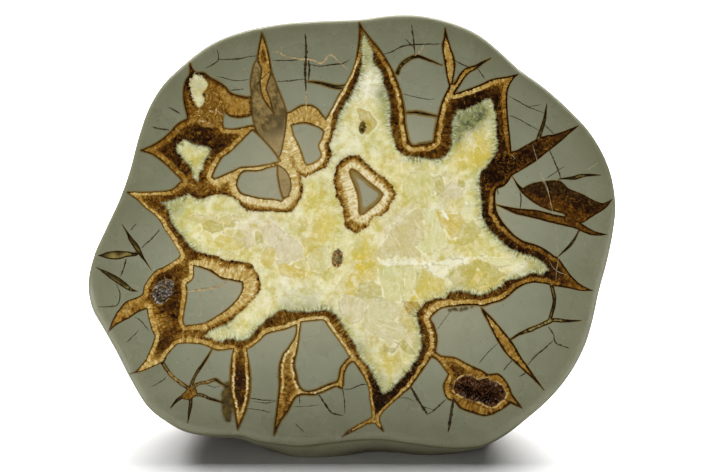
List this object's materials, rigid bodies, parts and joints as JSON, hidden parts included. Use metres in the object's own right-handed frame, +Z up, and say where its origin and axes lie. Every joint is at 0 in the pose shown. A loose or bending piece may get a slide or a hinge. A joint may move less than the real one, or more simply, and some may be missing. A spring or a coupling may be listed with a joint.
{
  "type": "septarian nodule",
  "caption": "Half of a septarian nodule, sawn and polished to show crystal-filled cracks in grey mudstone, standing on a small ground flat.",
  "frame": {"origin": "on the ground, below the middle of the stone's box", "axes": "+Z up, +X to the right of someone who looks at the polished face, +Y from the face towards the domed back"},
  "size_m": [0.2852, 0.1418, 0.2339],
  "materials": {
    "mudstone": "polished greenish-grey mudstone on the face, ground matt on the back",
    "calcite": "polished pale yellow-green crystalline calcite",
    "aragonite": "polished fibrous brown aragonite with a tan outer band"
  },
  "bodies": {
    "root": {"nodule": "mudstone"}
  },
  "joints": []
}
